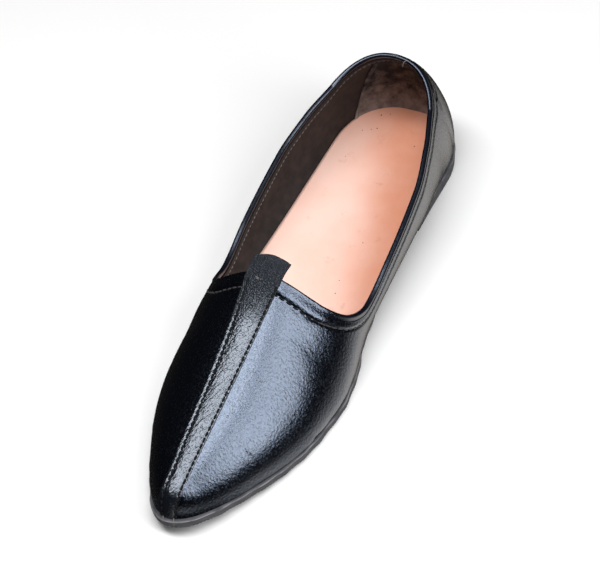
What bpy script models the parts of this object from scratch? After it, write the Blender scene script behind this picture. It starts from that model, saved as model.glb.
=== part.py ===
"""A jutti: a flat slip-on shoe of black leather, standing empty on its sole.

The last is worked out from the table of sections below. X runs from the heel
back to the toe tip, Y to the wearer's left and Z up from the floor, in metres.
"""
from collections import namedtuple

import bmesh
import bpy
import numpy as np

# Driving dimensions of the last
LAST_LENGTH = 0.276          # heel back to toe tip along the upper's bottom edge
HEEL_CENTRE = 0.034          # middle of the round heel seat, from the heel back
HEEL_ROUNDNESS = 2.12        # superellipse power of the heel seat's outline
HEEL_EASE = 0.008            # over about this distance past its middle the wall's sections begin to change
QUARTER_ROUNDNESS = 2.20     # superellipse power of the sections behind the throat
VAMP_ROUNDNESS = 1.60        # and of those in front of it
QUARTER_END = 0.090          # where the change between the two begins
VAMP_START = 0.145           # and where it ends
FLARE_HEIGHT = 0.0204        # height over the bottom edge where the wall flares most
FLARE_FADE = 0.625           # the flare dies away where the section is narrower than this share
FLARE_REACH = 0.006          # and where the toe's half width is below this
HEEL_BULGE = 0.0008          # how far the heel's back swells out
BULGE_HEIGHT = 0.031         # how high over the bottom edge that swelling ends
TOE_OFFSET = -0.0019         # the toe tip lies this far to the wearer's right

# Thicknesses and gaps
WALL = 0.0020                # leather and lining of the upper
SEAT_GAP = 0.0003            # between pieces that meet
INSOLE_THICKNESS = 0.0025
INSOLE_GAP = 0.0009          # between the insole's edge and the upper
STRIP_THICKNESS = 0.0012
SOLE_UNDERCUT = 0.0003       # the sole's edge leans in by this much at the tread
HEEL_INSET = 0.0004          # the heel lift stands this far inside the sole's edge

# Heel lift, centre strip and rolled collar
HEEL_BREAST = 0.070
STRIP_WIDTH_THROAT = 0.0158
STRIP_WIDTH_TOE = 0.0074
STRIP_TAB = 0.011            # free length of the strip behind the wall's edge at the throat
TAB_DROOP = 0.0026           # how far the tab's end hangs below the line of the ridge
THROAT_BEAD = 0.0009         # radius of the rolled edge across the throat
COLLAR_BEAD = 0.0014         # and along the collar
BEAD_GAP = 0.0005            # between the rolled edge and the wall under it
BEAD_GROWTH = (0.10, 0.24)   # share of the way to the heel where it thickens

# One row for each section of the last and sole. half_width and flare shape the
# side wall, ridge is the height of the (virtual) ridge over the feather line,
# feather and tread are the heights of the sole's top and underside, and lip is
# how far the sole stands out past the upper. The round heel's sections all hang
# on HEEL_CENTRE, so the first row's ridge and flare only set the slope there.
Section = namedtuple("Section", "x half_width ridge flare feather tread lip")
SECTIONS = (
    Section(0.000, 0.0316, 0.0420, -0.0040, 0.0082, 0.0052, 0.0010),
    Section(0.034, 0.0316, 0.0609, 0.0009, 0.0082, 0.0052, 0.0008),
    Section(0.055, 0.0314, 0.0826, 0.0059, 0.0081, 0.0052, 0.0006),
    Section(0.078, 0.0317, 0.0985, 0.0083, 0.0079, 0.0052, 0.0005),
    Section(0.115, 0.0333, 0.0776, 0.0078, 0.0073, 0.0041, 0.0004),
    Section(0.145, 0.0362, 0.0623, 0.0058, 0.0061, 0.0019, 0.0014),
    Section(0.170, 0.0420, 0.0518, 0.0022, 0.0047, 0.0000, 0.0017),
    Section(0.185, 0.0435, 0.0458, 0.0000, 0.0044, 0.0000, 0.0017),
    Section(0.200, 0.0422, 0.0399, 0.0001, 0.0045, 0.0000, 0.0017),
    Section(0.215, 0.0390, 0.0342, 0.0003, 0.0049, 0.0005, 0.0017),
    Section(0.245, 0.0266, 0.0233, 0.0010, 0.0066, 0.0023, 0.0019),
    Section(0.262, 0.0168, 0.0165, 0.0010, 0.0086, 0.0042, 0.0024),
    Section(0.272, 0.0087, 0.0122, 0.0010, 0.0102, 0.0057, 0.0030),
    Section(0.276, 0.0000, 0.0000, 0.0010, 0.0112, 0.0068, 0.0033),
)

# The wall's top edge. Across the throat each row gives where its line starts at
# the sole, where it meets the edge, and how far out from the ridge that is.
ThroatStation = namedtuple("ThroatStation", "foot_x edge_x half_span")
THROAT = (
    ThroatStation(0.1740, 0.1668, 0.0000),
    ThroatStation(0.1680, 0.1664, 0.0120),
    ThroatStation(0.1605, 0.1654, 0.0230),
    ThroatStation(0.1515, 0.1585, 0.0320),
)
CollarStation = namedtuple("CollarStation", "x edge_z")
COLLAR = (
    CollarStation(0.142, 0.0231),
    CollarStation(0.115, 0.0292),
    CollarStation(0.080, 0.0371),
    CollarStation(0.045, 0.0457),
    CollarStation(0.018, 0.0534),
    CollarStation(0.005, 0.0573),
    CollarStation(0.001, 0.0587),
    CollarStation(0.000, 0.0591),
)

# Shares of the walk around the last, and counts of facets
HEEL_SHARE = 0.20            # of the half outline that is the round heel
THROAT_SHARE = 0.45          # of the upper's columns that lie before the throat
UPPER_COLUMNS = 46           # on each side
UPPER_ROWS = 12
ROW_CROWDING = 1.3           # rows lie closer together towards the sole
SOLE_STATIONS = 54
SOLE_ACROSS = 4
HEEL_STATIONS = 22
STRIP_ROWS = 34
STRIP_ACROSS = 6
BEAD_STATIONS = 34           # on each side
BEAD_SIDES = 8
INSOLE_TOE = 0.99            # of the half outline, where the insole's blunt tip lies
PROBE = 0.002                # step along the outline between the points that give a slope
GIRTH_PROBE = 0.010          # and up the girth
SEARCH_STEPS = 200           # for finding a place along a curve
SEARCH_GIRTH = 0.75          # how far up the girth the insole's edge is looked for
SEARCH_CROWDING = 3          # with closer steps towards the bottom edge
TOE_SEARCH = 0.3             # how far from the tip the strip's end is looked for
WELD = 1e-6                  # corners closer than this are one
SHARP_EDGE = np.radians(40)  # facets that meet at more than this shade as an edge

# Materials, with linear colours
Leather = namedtuple("Leather", "slot colour roughness")
CHARCOAL_SOLE = Leather("charcoal_sole", (0.055, 0.056, 0.062), 0.60)
HEEL_CHARCOAL = Leather("heel_charcoal", (0.045, 0.046, 0.052), 0.60)
NATURAL_LEATHER = Leather("natural_leather", (0.80, 0.45, 0.32), 0.55)
BLACK_LEATHER = Leather("black_leather", (0.010, 0.011, 0.014), 0.35)
STRIP_LEATHER = Leather("strip_leather", (0.010, 0.011, 0.014), 0.40)
EDGE_LEATHER = Leather("edge_leather", (0.008, 0.008, 0.010), 0.25)


def monotone_curve(xs, ys):
    """Smooth curve through the points, with no overshoot between them."""
    order = np.argsort(xs)
    xs, ys = np.asarray(xs, float)[order], np.asarray(ys, float)[order]
    step = np.diff(xs)
    slope = np.diff(ys) / step
    tangent = np.concatenate([slope[:1], np.zeros(len(xs) - 2), slope[-1:]])
    for i in range(1, len(xs) - 1):
        before, after = slope[i - 1], slope[i]
        if before * after > 0:
            near, far = 2 * step[i] + step[i - 1], step[i] + 2 * step[i - 1]
            tangent[i] = (near + far) / (near / before + far / after)

    def value(x):
        x = np.clip(x, xs[0], xs[-1])
        i = np.clip(np.searchsorted(xs, x) - 1, 0, len(step) - 1)
        s = (x - xs[i]) / step[i]
        return ((1 + 2 * s) * (1 - s) ** 2 * ys[i] + s * (1 - s) ** 2 * step[i] * tangent[i]
                + s * s * (3 - 2 * s) * ys[i + 1] + s * s * (s - 1) * step[i] * tangent[i + 1])
    return value


def toeward(x):
    """Square-root measure from the toe tip, in which a round toe is a straight line."""
    return np.sqrt(np.clip(1 - np.asarray(x, float) / LAST_LENGTH, 0, 1))


SECTION_CURVES = {
    column: monotone_curve(toeward([row.x for row in SECTIONS]), [getattr(row, column) for row in SECTIONS])
    for column in Section._fields
}
ROUNDNESS = monotone_curve((0, QUARTER_END, VAMP_START, LAST_LENGTH),
                           (QUARTER_ROUNDNESS, QUARTER_ROUNDNESS, VAMP_ROUNDNESS, VAMP_ROUNDNESS))
CENTRE_LINE = monotone_curve((0, VAMP_START, LAST_LENGTH), (0, 0, TOE_OFFSET))


def section(column, x):
    return SECTION_CURVES[column](toeward(x))


def foot(t):
    """Bottom outline of the last: t is 0 at the heel back and 1 at the toe tip, negative on the right.

    Returns the outline point and the point of the spine that its section hangs on.
    """
    t = np.asarray(t, float)
    way = np.abs(t)
    side = np.where(t >= 0, 1.0, -1.0)
    turn = np.clip(way / HEEL_SHARE, 0, 1) * np.pi / 2
    power = HEEL_ROUNDNESS
    reach = (np.cos(turn) ** power + np.sin(turn) ** power) ** (-1 / power)
    ahead = np.clip((way - HEEL_SHARE) / (1 - HEEL_SHARE), 0, 1)
    spine_x = HEEL_CENTRE + (LAST_LENGTH - HEEL_CENTRE) * np.sin(ahead * np.pi / 2)
    spine_y = CENTRE_LINE(spine_x)
    heel = way < HEEL_SHARE
    x = np.where(heel, HEEL_CENTRE * (1 - np.cos(turn) * reach), spine_x)
    y = spine_y + side * section("half_width", spine_x) * np.where(heel, np.sin(turn) * reach, 1.0)
    return x, y, spine_x, spine_y


def eased(x):
    """Where along the last the wall's section is read, so that it changes gradually past the round heel."""
    return HEEL_CENTRE + HEEL_EASE * np.log1p(np.exp((x - HEEL_CENTRE) / HEEL_EASE))


def walk(x):
    """The t at which the outline passes a distance x from the heel back."""
    x = np.asarray(x, float)
    ahead = np.arcsin(np.clip((x - HEEL_CENTRE) / (LAST_LENGTH - HEEL_CENTRE), 0, 1)) / (np.pi / 2)
    heel_t = np.linspace(0, HEEL_SHARE, SEARCH_STEPS)
    heel = np.interp(x, foot(heel_t)[0], heel_t)
    return np.where(x >= HEEL_CENTRE, HEEL_SHARE + (1 - HEEL_SHARE) * ahead, heel)


def surface(t, girth):
    """Outer face of the upper: girth is 0 at the bottom edge and a quarter turn at the ridge."""
    x, y, spine_x, spine_y = foot(t)
    shape_x = eased(x)
    power = 2 / ROUNDNESS(shape_x)
    inward = np.clip(np.cos(girth), 0, 1) ** power
    rise = section("ridge", shape_x) * np.clip(np.sin(girth), 0, 1) ** power
    out_x, out_y = x - spine_x, y - spine_y
    reach = np.hypot(out_x, out_y) + 1e-9
    lift = rise / FLARE_HEIGHT
    swell = section("flare", shape_x) * lift * np.exp(1 - lift) * np.clip(inward / FLARE_FADE, 0, 1)
    behind = np.sin(np.clip(1 - np.abs(t) / HEEL_SHARE, 0, 1) * np.pi / 2) ** 2
    swell = swell + behind * HEEL_BULGE * np.sin(np.clip(rise / BULGE_HEIGHT, 0, 1) * np.pi)
    share = inward + swell / np.maximum(reach, FLARE_REACH)
    return np.stack([spine_x + out_x * share, spine_y + out_y * share,
                     section("feather", spine_x) + SEAT_GAP + rise], -1)


def outward(t, girth):
    """Unit normal of the upper's outer face."""
    t = np.clip(t, 2 * PROBE - 1, 1 - 2 * PROBE)
    girth = np.clip(girth, 2 * GIRTH_PROBE, np.pi / 2 - 2 * GIRTH_PROBE)
    along = surface(t + PROBE, girth) - surface(t - PROBE, girth)
    up = surface(t, girth + GIRTH_PROBE) - surface(t, girth - GIRTH_PROBE)
    normal = np.cross(up, along)
    return normal / np.linalg.norm(normal, axis=-1, keepdims=True)


def girth_at(t, height):
    """The girth at which the section at t reaches a height over the floor."""
    x, _, spine_x, _ = foot(t)
    share = (height - SEAT_GAP - section("feather", spine_x)) / section("ridge", eased(x))
    return np.arcsin(np.clip(share, 0, 1) ** (ROUNDNESS(eased(x)) / 2))


def edge_rows():
    """The top edge's stations as rows of t at the sole, t at the edge, girth and height."""
    rows = []
    for station in THROAT:
        share = station.half_span / section("half_width", station.edge_x)
        t, girth = walk(station.edge_x), np.arccos(share ** (ROUNDNESS(station.edge_x) / 2))
        rows.append((walk(station.foot_x), t, girth, surface(t, girth)[2]))
    for station in COLLAR:
        t = walk(station.x)
        rows.append((t, t, girth_at(t, station.edge_z), station.edge_z))
    return np.array(rows, float)


EDGE_ROWS = edge_rows()
EDGE_LENGTHS = np.linalg.norm(np.diff(surface(EDGE_ROWS[:, 1], EDGE_ROWS[:, 2]), axis=0), axis=1)
EDGE_SHARES = np.concatenate([[0], np.cumsum(EDGE_LENGTHS)]) / EDGE_LENGTHS.sum()
EDGE_FOOT, EDGE_TOP, THROAT_GIRTH, EDGE_HEIGHT = (monotone_curve(EDGE_SHARES, EDGE_ROWS[:, i]) for i in range(4))


def edge_girth(way):
    """Girth of the top edge, from the throat's middle at 0 to the heel back at 1."""
    in_throat = way < EDGE_SHARES[len(THROAT) - 1]
    return np.where(in_throat, THROAT_GIRTH(way), girth_at(EDGE_TOP(way), EDGE_HEIGHT(way)))


def upper_point(u, k):
    """The upper's column u, 0 at the toe tip and 1 at the heel back, negative on the right, at height share k."""
    side = np.where(u >= 0, 1.0, -1.0)
    way = np.abs(u)
    vamp = np.clip(way / THROAT_SHARE, 0, 1)
    quarter = np.clip((way - THROAT_SHARE) / (1 - THROAT_SHARE), 0, 1)
    in_vamp = way < THROAT_SHARE
    foot_t = np.where(in_vamp, 1 - vamp * (1 - EDGE_FOOT(0)), EDGE_FOOT(quarter))
    top_t = np.where(in_vamp, 1 - vamp * (1 - EDGE_TOP(0)), EDGE_TOP(quarter))
    girth = np.where(in_vamp, np.pi / 2, edge_girth(quarter))
    return surface(side * (foot_t + (top_t - foot_t) * k * k), girth * k)


def sole_edge(t, beyond, height):
    """The outline of the last moved out by a margin, at a height of the sole."""
    x, y, spine_x, spine_y = foot(t)
    ahead_x, ahead_y = foot(np.clip(t + PROBE / 2, -1, 1))[:2]
    behind_x, behind_y = foot(np.clip(t - PROBE / 2, -1, 1))[:2]
    along = np.stack([ahead_x - behind_x, ahead_y - behind_y], -1)
    along /= np.linalg.norm(along, axis=-1, keepdims=True)
    out_x, out_y = -along[..., 1], along[..., 0]
    tip = np.abs(t) > 1 - PROBE
    out_x, out_y = np.where(tip, 1.0, out_x), np.where(tip, 0.0, out_y)
    margin = section("lip", x) + beyond
    return np.stack([x + out_x * margin, y + out_y * margin, section(height, spine_x)], -1)


def inner_edge(t, height):
    """Where the upper's inner face, less the gap, passes a height over the feather line."""
    girths = SEARCH_GIRTH * np.linspace(0, 1, SEARCH_STEPS) ** SEARCH_CROWDING
    points = []
    for station in t:
        inner = surface(station, girths) - (WALL + INSOLE_GAP) * outward(station, girths)
        level = section("feather", foot(station)[2]) + height
        points.append([np.interp(level, inner[:, 2], inner[:, 0]), np.interp(level, inner[:, 2], inner[:, 1]), level])
    return np.array(points)


def principled(leather):
    material = bpy.data.materials.new(leather.slot)
    material.use_nodes = True
    shader = material.node_tree.nodes["Principled BSDF"]
    shader.inputs["Base Color"].default_value = (*leather.colour, 1.0)
    shader.inputs["Roughness"].default_value = leather.roughness
    shader.inputs["Metallic"].default_value = 0.0
    return material


def add_sheet(bm, points):
    """Adds a grid of faces whose corners lie on an array of points, and returns its corners."""
    columns, rows = points.shape[0] - 1, points.shape[1] - 1
    made = bmesh.ops.create_grid(bm, x_segments=columns, y_segments=rows, size=0.5)
    for vert in made["verts"]:
        i, j = round((vert.co.x + 0.5) * columns), round((vert.co.y + 0.5) * rows)
        vert.co = points[i, j]
    return made["verts"]


def finish(name, bm, leather):
    """Makes the named, smoothly shaded object of a sub-part."""
    bmesh.ops.remove_doubles(bm, verts=bm.verts, dist=WELD)
    mesh = bpy.data.meshes.new(name)
    bm.to_mesh(mesh)
    bm.free()
    mesh.shade_smooth()
    mesh.set_sharp_from_angle(angle=SHARP_EDGE)
    mesh.materials.append(principled(leather))
    part = bpy.data.objects.new(name, mesh)
    bpy.context.scene.collection.objects.link(part)
    return part


def thicken(part, thickness, direction):
    """Gives a sheet its wall: direction 1 grows it outwards, -1 inwards."""
    wall = part.modifiers.new("wall", "SOLIDIFY")
    wall.thickness = thickness
    wall.offset = direction
    wall.use_even_offset = True
    return part


def slab(name, left_top, right_top, left_bottom, right_bottom, leather):
    """A sole-like solid between the edges of its top and of its underside."""
    across = np.linspace(0, 1, SOLE_ACROSS + 1)[None, :, None]
    bm = bmesh.new()
    for left, right in ((left_top, right_top), (left_bottom, right_bottom)):
        add_sheet(bm, left[:, None] * (1 - across) + right[:, None] * across)
    bmesh.ops.remove_doubles(bm, verts=bm.verts, dist=WELD)
    bmesh.ops.bridge_loops(bm, edges=[edge for edge in bm.edges if edge.is_boundary])
    bmesh.ops.recalc_face_normals(bm, faces=bm.faces)
    return finish(name, bm, leather)


def build_outsole():
    """Leather outsole, with its arch and toe spring, cut a little wider than the upper."""
    t = np.linspace(0, 1, SOLE_STATIONS + 1)
    edges = [sole_edge(side * t, beyond, height)
             for beyond, height in ((0, "feather"), (-SOLE_UNDERCUT, "tread")) for side in (1, -1)]
    return slab("outsole", *edges, CHARCOAL_SOLE)


def build_heel():
    """Low heel lift under the seat, with a straight breast and a flat underside."""
    t = np.linspace(0, 1, HEEL_STATIONS + 1) * walk(HEEL_BREAST)
    top = [sole_edge(side * t, -SOLE_UNDERCUT - HEEL_INSET, "tread") for side in (1, -1)]
    bottom = [edge * (1, 1, 0) for edge in top]
    for edge in top:
        edge[:, 2] -= SEAT_GAP
    return slab("heel", *top, *bottom, HEEL_CHARCOAL)


def build_insole():
    """Natural leather insole, cut to the inner face of the upper."""
    t = np.linspace(0, INSOLE_TOE, SOLE_STATIONS + 1)
    edges = [inner_edge(side * t, height)
             for height in (SEAT_GAP + INSOLE_THICKNESS, SEAT_GAP) for side in (1, -1)]
    return slab("insole", *edges, NATURAL_LEATHER)


def build_upper():
    """Hollow leather upper: vamp and quarters in one wall, open at the collar, throat and underneath."""
    u = np.concatenate([np.linspace(0, 1, UPPER_COLUMNS + 1), -np.linspace(1, 0, UPPER_COLUMNS + 1)[1:]])
    u[-1] = -1e-12
    k = np.linspace(0, 1, UPPER_ROWS + 1) ** ROW_CROWDING
    bm = bmesh.new()
    add_sheet(bm, upper_point(u[:, None] + 0 * k, 0 * u[:, None] + k))
    upper = finish("upper", bm, BLACK_LEATHER)
    return thicken(upper, WALL, -1)


def build_centre_strip():
    """Strip sewn along the vamp's ridge from the toe, with a free tab behind the throat's edge."""
    across = np.linspace(-1, 1, STRIP_ACROSS + 1)
    toe_q = np.linspace(0, TOE_SEARCH, SEARCH_STEPS)
    toe_widths = section("half_width", LAST_LENGTH * (1 - toe_q ** 2))
    last_q = np.interp(np.abs(across) * STRIP_WIDTH_TOE / 2, toe_widths, toe_q)
    first_q = toeward(THROAT[0].edge_x - STRIP_TAB)
    share = np.linspace(0, 1, STRIP_ROWS + 1)[:, None]
    q = first_q + (last_q - first_q) * share
    x = LAST_LENGTH * (1 - q ** 2)
    widths = np.interp(x, (THROAT[0].edge_x, LAST_LENGTH), (STRIP_WIDTH_THROAT, STRIP_WIDTH_TOE))
    aside = np.abs(across) * widths / 2
    girth = np.arccos(np.clip(aside / np.maximum(section("half_width", x), 1e-6), 0, 1) ** (ROUNDNESS(x) / 2))
    points = surface(np.where(across < 0, -1.0, 1.0) * walk(x), girth)
    past_edge = np.clip((THROAT[0].edge_x - x) / STRIP_TAB, 0, 1)
    points[..., 2] -= TAB_DROOP * past_edge ** 2
    normals = np.cross(np.gradient(points, axis=0), np.gradient(points, axis=1))
    normals /= np.linalg.norm(normals, axis=-1, keepdims=True)
    bm = bmesh.new()
    add_sheet(bm, points + SEAT_GAP * normals)
    strip = finish("centre_strip", bm, STRIP_LEATHER)
    return thicken(strip, STRIP_THICKNESS, 1)


def build_collar_binding():
    """Rolled leather edge that runs round the collar and, thinner, across the throat."""
    half = np.linspace(0, 1, BEAD_STATIONS + 1)
    way = np.concatenate([half, half[-2:0:-1]])
    side = np.concatenate([np.ones(len(half)), -np.ones(len(half) - 2)])
    t, girth = side * EDGE_TOP(way), edge_girth(way)
    edge, normal = surface(t, girth), outward(t, girth)
    along = np.roll(edge, -1, axis=0) - np.roll(edge, 1, axis=0)
    off = np.cross(normal, along)
    off /= np.linalg.norm(off, axis=1, keepdims=True)
    grown = np.clip((way - BEAD_GROWTH[0]) / (BEAD_GROWTH[1] - BEAD_GROWTH[0]), 0, 1)
    radius = (THROAT_BEAD + (COLLAR_BEAD - THROAT_BEAD) * grown)[:, None]
    centre = edge + off * (BEAD_GAP + radius) - normal * WALL / 2
    turn = np.linspace(0, 2 * np.pi, BEAD_SIDES + 1)[None, :, None]
    ring = centre[:, None] + radius[:, None] * (np.cos(turn) * off[:, None] + np.sin(turn) * normal[:, None])
    bm = bmesh.new()
    add_sheet(bm, np.concatenate([ring, ring[:1]]))
    bmesh.ops.remove_doubles(bm, verts=bm.verts, dist=WELD)
    bmesh.ops.recalc_face_normals(bm, faces=bm.faces)
    return finish("collar_binding", bm, EDGE_LEATHER)


def stand_on_origin(parts):
    """Hangs the parts on an empty that puts the middle of their footprint over the origin."""
    bpy.context.view_layer.update()
    depsgraph = bpy.context.evaluated_depsgraph_get()
    corners = np.array([corner for part in parts for corner in part.evaluated_get(depsgraph).bound_box])
    middle = (corners.min(axis=0) + corners.max(axis=0)) / 2
    jutti = bpy.data.objects.new("jutti", None)
    jutti.location = (-middle[0], -middle[1], 0)
    bpy.context.scene.collection.objects.link(jutti)
    for part in parts:
        part.parent = jutti


for leftover in list(bpy.data.objects):
    bpy.data.objects.remove(leftover)
stand_on_origin([build_outsole(), build_heel(), build_insole(), build_upper(), build_centre_strip(),
                 build_collar_binding()])
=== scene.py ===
import bmesh
import bpy
import numpy as np
from mathutils import Matrix, Quaternion, Vector
from mathutils.bvhtree import BVHTree
from mathutils.kdtree import KDTree


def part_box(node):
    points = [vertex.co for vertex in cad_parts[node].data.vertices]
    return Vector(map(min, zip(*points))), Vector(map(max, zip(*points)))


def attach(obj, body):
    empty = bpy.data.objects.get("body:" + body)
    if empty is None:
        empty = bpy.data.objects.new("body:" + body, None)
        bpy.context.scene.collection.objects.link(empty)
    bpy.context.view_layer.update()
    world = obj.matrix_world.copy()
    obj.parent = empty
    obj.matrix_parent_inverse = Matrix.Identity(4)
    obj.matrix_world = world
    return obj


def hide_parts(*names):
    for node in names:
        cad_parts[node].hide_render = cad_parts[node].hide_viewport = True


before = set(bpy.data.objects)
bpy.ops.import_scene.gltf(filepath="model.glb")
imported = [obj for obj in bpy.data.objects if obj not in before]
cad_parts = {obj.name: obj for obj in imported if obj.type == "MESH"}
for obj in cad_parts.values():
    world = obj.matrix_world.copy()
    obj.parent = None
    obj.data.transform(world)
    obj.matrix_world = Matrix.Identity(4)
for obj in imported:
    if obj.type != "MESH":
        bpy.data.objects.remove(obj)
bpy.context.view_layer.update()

# Outsole: one layer of thick vegetable-tanned leather, cut round the last and
# sewn to the upper. Its edge is sanded, dyed charcoal and rubbed down, and the
# top corner has worn back to pale leather.
LAST_LENGTH = 0.276          # heel back to toe tip along the upper's bottom edge
HEEL_CENTRE = 0.034          # middle of the round heel seat
HEEL_ROUNDNESS = 2.12        # superellipse power of the heel seat's outline
HEEL_EASE = 0.008            # over about this distance past its middle the wall's sections begin to change
HEEL_SHARE = 0.20            # of the half outline that is the round heel
TOE_OFFSET = -0.0019         # the toe tip lies this far to the wearer's right
VAMP_START = 0.145           # where the vamp's own sections begin
PROBE = 0.002                # step along the outline between the points that give a slope
SECTIONS = {                 # the last, in rows from the heel back to the toe tip
    "x": (0, .034, .055, .078, .115, .145, .170,                        # from the heel back
          .185, .200, .215, .245, .262, .272, .276),
    "half_width": (.0316, .0316, .0314, .0317, .0333, .0362, .0420,     # of the foot
                   .0435, .0422, .0390, .0266, .0168, .0087, 0),
    "ridge": (.0420, .0609, .0826, .0985, .0776, .0623, .0518,          # height over the feather line
              .0458, .0399, .0342, .0233, .0158, .0108, 0),
    "flare": (-.0040, .0009, .0059, .0083, .0078, .0058, .0022,         # how far the wall leans out
              0, .0001, .0003, .0010, .0010, .0010, .0010),
    "feather": (.0082, .0082, .0081, .0079, .0073, .0061, .0047,        # height of the sole's top
                .0044, .0045, .0049, .0066, .0086, .0102, .0112),
    "tread": (.0052, .0052, .0052, .0052, .0041, .0019, 0,              # height of the sole's underside
              0, 0, .0005, .0023, .0042, .0057, .0068),
    "lip": (.0010, .0008, .0006, .0005, .0004, .0014, .0017,            # how far the sole stands out
            .0017, .0017, .0017, .0019, .0024, .0030, .0033),
}
SEARCH_STEPS = 200           # points among which a place on a curve is looked up


def monotone_curve(xs, ys):
    """Smooth curve through the points, with no overshoot between them."""
    order = np.argsort(xs)
    xs, ys = np.asarray(xs, float)[order], np.asarray(ys, float)[order]
    step = np.diff(xs)
    slope = np.diff(ys) / step
    tangent = np.concatenate([slope[:1], np.zeros(len(xs) - 2), slope[-1:]])
    for i in range(1, len(xs) - 1):
        before, after = slope[i - 1], slope[i]
        if before * after > 0:
            near, far = 2 * step[i] + step[i - 1], step[i] + 2 * step[i - 1]
            tangent[i] = (near + far) / (near / before + far / after)

    def value(x):
        x = np.clip(x, xs[0], xs[-1])
        i = np.clip(np.searchsorted(xs, x) - 1, 0, len(step) - 1)
        s = (x - xs[i]) / step[i]
        return ((1 + 2 * s) * (1 - s) ** 2 * ys[i] + s * (1 - s) ** 2 * step[i] * tangent[i]
                + s * s * (3 - 2 * s) * ys[i + 1] + s * s * (s - 1) * step[i] * tangent[i + 1])
    return value


def toeward(x):
    """Square-root measure from the toe tip, in which a round toe is a straight line."""
    return np.sqrt(np.clip(1 - np.asarray(x, float) / LAST_LENGTH, 0, 1))


SECTION_CURVES = {name: monotone_curve(toeward(SECTIONS["x"]), values) for name, values in SECTIONS.items()}
CENTRE_LINE = monotone_curve((0, VAMP_START, LAST_LENGTH), (0, 0, TOE_OFFSET))


def section(name, x):
    """A row of the last, read at a distance from the heel back."""
    return SECTION_CURVES[name](toeward(x))


def foot(t):
    """Bottom outline of the last: t is 0 at the heel back and 1 at the toe tip, negative on the right."""
    t = np.asarray(t, float)
    way = np.abs(t)
    turn = np.clip(way / HEEL_SHARE, 0, 1) * np.pi / 2
    power = HEEL_ROUNDNESS
    reach = (np.cos(turn) ** power + np.sin(turn) ** power) ** (-1 / power)
    ahead = np.clip((way - HEEL_SHARE) / (1 - HEEL_SHARE), 0, 1)
    spine_x = HEEL_CENTRE + (LAST_LENGTH - HEEL_CENTRE) * np.sin(ahead * np.pi / 2)
    spine_y = CENTRE_LINE(spine_x)
    heel = way < HEEL_SHARE
    x = np.where(heel, HEEL_CENTRE * (1 - np.cos(turn) * reach), spine_x)
    aside = section("half_width", spine_x) * np.where(heel, np.sin(turn) * reach, 1.0)
    return x, spine_y + np.where(t >= 0, 1.0, -1.0) * aside, spine_x, spine_y


def eased(x):
    """Where along the last the wall's section is read, so that it changes gradually past the round heel."""
    return HEEL_CENTRE + HEEL_EASE * np.log1p(np.exp((x - HEEL_CENTRE) / HEEL_EASE))


def walk(x):
    """The t at which the outline passes a distance x from the heel back."""
    x = np.asarray(x, float)
    ahead = np.arcsin(np.clip((x - HEEL_CENTRE) / (LAST_LENGTH - HEEL_CENTRE), 0, 1)) / (np.pi / 2)
    heel_t = np.linspace(0, HEEL_SHARE, SEARCH_STEPS)
    heel = np.interp(x, foot(heel_t)[0], heel_t)
    return np.where(x >= HEEL_CENTRE, HEEL_SHARE + (1 - HEEL_SHARE) * ahead, heel)


def unit(vectors):
    """The vectors, each at length 1."""
    return vectors / np.linalg.norm(vectors, axis=-1, keepdims=True)


def sole_edge(t, beyond, level):
    """The sole's outline moved out by a margin, at a level between its tread (0) and its top (1)."""
    x, y, spine_x, _ = foot(t)
    ahead_x, ahead_y = foot(np.clip(t + PROBE / 2, -1, 1))[:2]
    behind_x, behind_y = foot(np.clip(t - PROBE / 2, -1, 1))[:2]
    along = unit(np.stack([ahead_x - behind_x, ahead_y - behind_y], -1))
    tip = np.abs(t) > 1 - PROBE
    out_x, out_y = np.where(tip, 1.0, -along[..., 1]), np.where(tip, 0.0, along[..., 0])
    margin = section("lip", x) + beyond
    height = section("tread", spine_x) * (1 - level) + section("feather", spine_x) * level
    return np.stack([x + out_x * margin, y + out_y * margin, height], -1)


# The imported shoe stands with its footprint's middle on the origin, so the last
# is set back by the distance between the two heel backs.
SOLE_UNDERCUT = 0.0003       # the sole's edge leans in by this much at the tread
HEEL_INSET = 0.0004          # the heel lift stands this far inside the sole's edge
heel_low, heel_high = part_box("heel")
SET_BACK = np.array([heel_low.x - sole_edge(np.array([0.0]), -SOLE_UNDERCUT - HEEL_INSET, 0)[0, 0],
                     (heel_low.y + heel_high.y) / 2, 0])


def lay_sheet(bm, points, **marks):
    """Adds a grid of faces with its corners on an array of points of the last, and marks for the finish."""
    columns, rows = points.shape[0] - 1, points.shape[1] - 1
    layers = [(bm.verts.layers.float.get(name) or bm.verts.layers.float.new(name), values)
              for name, values in marks.items()]
    made = bmesh.ops.create_grid(bm, x_segments=columns, y_segments=rows, size=0.5)
    for vert in made["verts"]:
        i, j = round((vert.co.x + 0.5) * columns), round((vert.co.y + 0.5) * rows)
        vert.co = Vector(points[i, j] + SET_BACK)
        for layer, values in layers:
            vert[layer] = float(values[i, j])


WELD = 2e-6                  # corners that lie closer together than this are one


def make_piece(name, bm, material, replaced=None):
    """Welds and names the piece, shades it smooth, and fixes it to the shoe."""
    bmesh.ops.remove_doubles(bm, verts=bm.verts, dist=WELD)
    bmesh.ops.recalc_face_normals(bm, faces=bm.faces)
    mesh = bpy.data.meshes.new(name)
    bm.to_mesh(mesh)
    bm.free()
    mesh.shade_smooth()
    mesh.materials.append(material)
    piece = bpy.data.objects.new(name, mesh)
    bpy.context.scene.collection.objects.link(piece)
    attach(piece, "root")
    if replaced:
        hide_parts(replaced)
    return piece


def colour(code):
    """An sRGB hex colour as linear values."""
    srgb = np.array([int(code[i:i + 2], 16) for i in (1, 3, 5)]) / 255
    values = np.where(srgb <= 0.04045, srgb / 12.92, ((srgb + 0.055) / 1.055) ** 2.4)
    return (*(float(value) for value in values), 1.0)


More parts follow.
